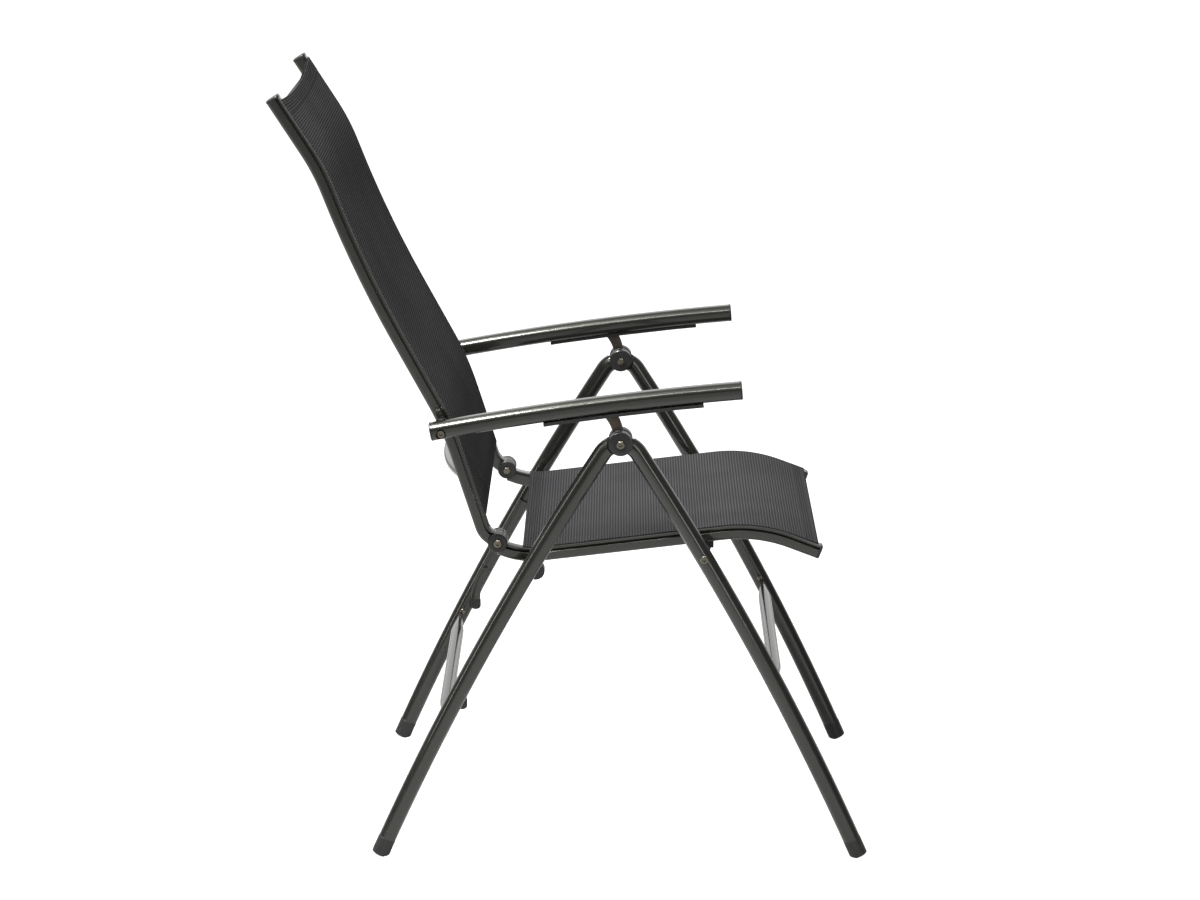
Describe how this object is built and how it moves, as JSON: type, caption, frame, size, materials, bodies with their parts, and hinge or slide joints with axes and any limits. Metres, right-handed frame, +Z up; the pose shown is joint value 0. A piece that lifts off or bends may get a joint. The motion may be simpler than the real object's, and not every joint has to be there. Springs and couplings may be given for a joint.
{
  "type": "sling patio chair",
  "caption": "Folding high-back patio chair: bowed crossed legs, reclining back, straight armrests, ribbed mesh sling stretched between bent tube rails.",
  "frame": {"origin": "middle of the bounding box at floor level", "axes": "+X from the back towards the front edge of the seat, +Y to the sitter's left, +Z up"},
  "size_m": [0.8576, 0.5726, 1.1039],
  "materials": {
    "powder_coat": "semi-gloss anthracite powder coat",
    "hinge_plastic": "satin black moulded plastic",
    "bolt_steel": "bronze tinted zinc",
    "hook_bronze": "satin bronze coat",
    "sling_cloth": "ribbed grey mesh",
    "foot_rubber": "matt black"
  },
  "bodies": {
    "front_frame": {"front_leg_right": "powder_coat", "front_leg_left": "powder_coat", "front_cross_tube": "powder_coat", "front_foot_cap_right": "foot_rubber", "front_foot_cap_left": "foot_rubber", "front_knuckle_right": "hinge_plastic", "front_knuckle_left": "hinge_plastic", "top_hinge_bolt_right": "bolt_steel", "top_hinge_bolt_left": "bolt_steel", "seat_pivot_bolt_right": "bolt_steel", "seat_pivot_bolt_left": "bolt_steel"},
    "rear_frame": {"rear_leg_right": "powder_coat", "rear_leg_left": "powder_coat", "rear_cross_tube": "powder_coat", "rear_foot_cap_right": "foot_rubber", "rear_foot_cap_left": "foot_rubber", "rear_knuckle_right": "hinge_plastic", "rear_knuckle_left": "hinge_plastic", "stay_bar_right": "powder_coat", "stay_bar_left": "powder_coat"},
    "seat_frame": {"seat_rail_right": "powder_coat", "seat_rail_left": "powder_coat", "seat_end_cap_right": "hinge_plastic", "seat_end_cap_left": "hinge_plastic", "seat_knuckle_right": "hinge_plastic", "seat_knuckle_left": "hinge_plastic", "seat_pivot_bracket_right": "hinge_plastic", "seat_pivot_bracket_left": "hinge_plastic", "seat_block_right": "hinge_plastic", "seat_block_left": "hinge_plastic", "seat_sling": "sling_cloth", "seat_front_spreader": "powder_coat", "seat_rear_spreader": "powder_coat"},
    "back_hinge_pins": {"back_hinge_bolt_right": "bolt_steel", "back_hinge_bolt_left": "bolt_steel", "back_hinge_spacer_right": "bolt_steel", "back_hinge_spacer_left": "bolt_steel"},
    "back_frame": {"back_rail_right": "powder_coat", "back_rail_left": "powder_coat", "back_end_cap_right": "hinge_plastic", "back_end_cap_left": "hinge_plastic", "back_knuckle_right": "hinge_plastic", "back_knuckle_left": "hinge_plastic", "back_sling": "sling_cloth", "back_low_bar": "powder_coat", "back_high_bar": "powder_coat"},
    "arm_pivot_pins": {"arm_pivot_bolt_right": "bolt_steel", "arm_pivot_bolt_left": "bolt_steel", "arm_pivot_bush_right": "hinge_plastic", "arm_pivot_bush_left": "hinge_plastic"},
    "arm_right": {"arm_tube_right": "powder_coat", "arm_front_cap_right": "hinge_plastic", "arm_rear_cap_right": "hinge_plastic", "arm_rack_right": "hinge_plastic"},
    "arm_left": {"arm_tube_left": "powder_coat", "arm_front_cap_left": "hinge_plastic", "arm_rear_cap_left": "hinge_plastic", "arm_rack_left": "hinge_plastic"},
    "hook_right": {"hook_strap_right": "hook_bronze"},
    "hook_left": {"hook_strap_left": "hook_bronze"}
  },
  "joints": [
    {"name": "leg_fold", "type": "hinge", "parent": "front_frame", "child": "rear_frame", "pos_m": [0.06639, 0, 0.6204], "axis": [0, -1, 0], "range_deg": [0, 48.8]},
    {"name": "seat_fold", "type": "hinge", "parent": "front_frame", "child": "seat_frame", "pos_m": [0.18531, 0, 0.451], "axis": [0, -1, 0], "range_deg": [0, 86.7]},
    {"name": "back_fold", "type": "hinge", "parent": "seat_frame", "child": "back_hinge_pins", "pos_m": [-0.1092, 0, 0.4592], "axis": [0, -1, 0], "range_deg": [-86.4, 0]},
    {"name": "back_recline", "type": "hinge", "parent": "back_hinge_pins", "child": "back_frame", "pos_m": [-0.1092, 0, 0.4592], "axis": [0, -1, 0], "range_deg": [-8, 36]},
    {"name": "arm_fold", "type": "hinge", "parent": "back_frame", "child": "arm_pivot_pins", "pos_m": [-0.1866, 0, 0.6315], "axis": [0, -1, 0], "range_deg": [0, 115.4]},
    {"name": "arm_tilt_right", "type": "hinge", "parent": "arm_pivot_pins", "child": "arm_right", "pos_m": [-0.1866, -0.259, 0.6315], "axis": [0, -1, 0], "range_deg": [-24.8, 5.6]},
    {"name": "arm_tilt_left", "type": "hinge", "parent": "arm_pivot_pins", "child": "arm_left", "pos_m": [-0.1866, 0.259, 0.6315], "axis": [0, -1, 0], "range_deg": [-24.8, 5.6]},
    {"name": "hook_swing_right", "type": "hinge", "parent": "front_frame", "child": "hook_right", "pos_m": [0.06639, -0.262, 0.6204], "axis": [0, -1, 0], "range_deg": [-24.5, 0]},
    {"name": "hook_swing_left", "type": "hinge", "parent": "front_frame", "child": "hook_left", "pos_m": [0.06639, 0.262, 0.6204], "axis": [0, -1, 0], "range_deg": [-24.5, 0]}
  ],
  "couplings": [
    {"joint": "seat_fold", "follows": "leg_fold", "ratio": 1.775},
    {"joint": "back_fold", "follows": "leg_fold", "ratio": -1.768},
    {"joint": "arm_fold", "follows": "leg_fold", "ratio": 2.363},
    {"joint": "arm_tilt_right", "follows": "back_recline", "ratio": -0.6875},
    {"joint": "arm_tilt_left", "follows": "back_recline", "ratio": -0.6875},
    {"joint": "hook_swing_right", "follows": "leg_fold", "ratio": -0.5},
    {"joint": "hook_swing_left", "follows": "leg_fold", "ratio": -0.5}
  ]
}
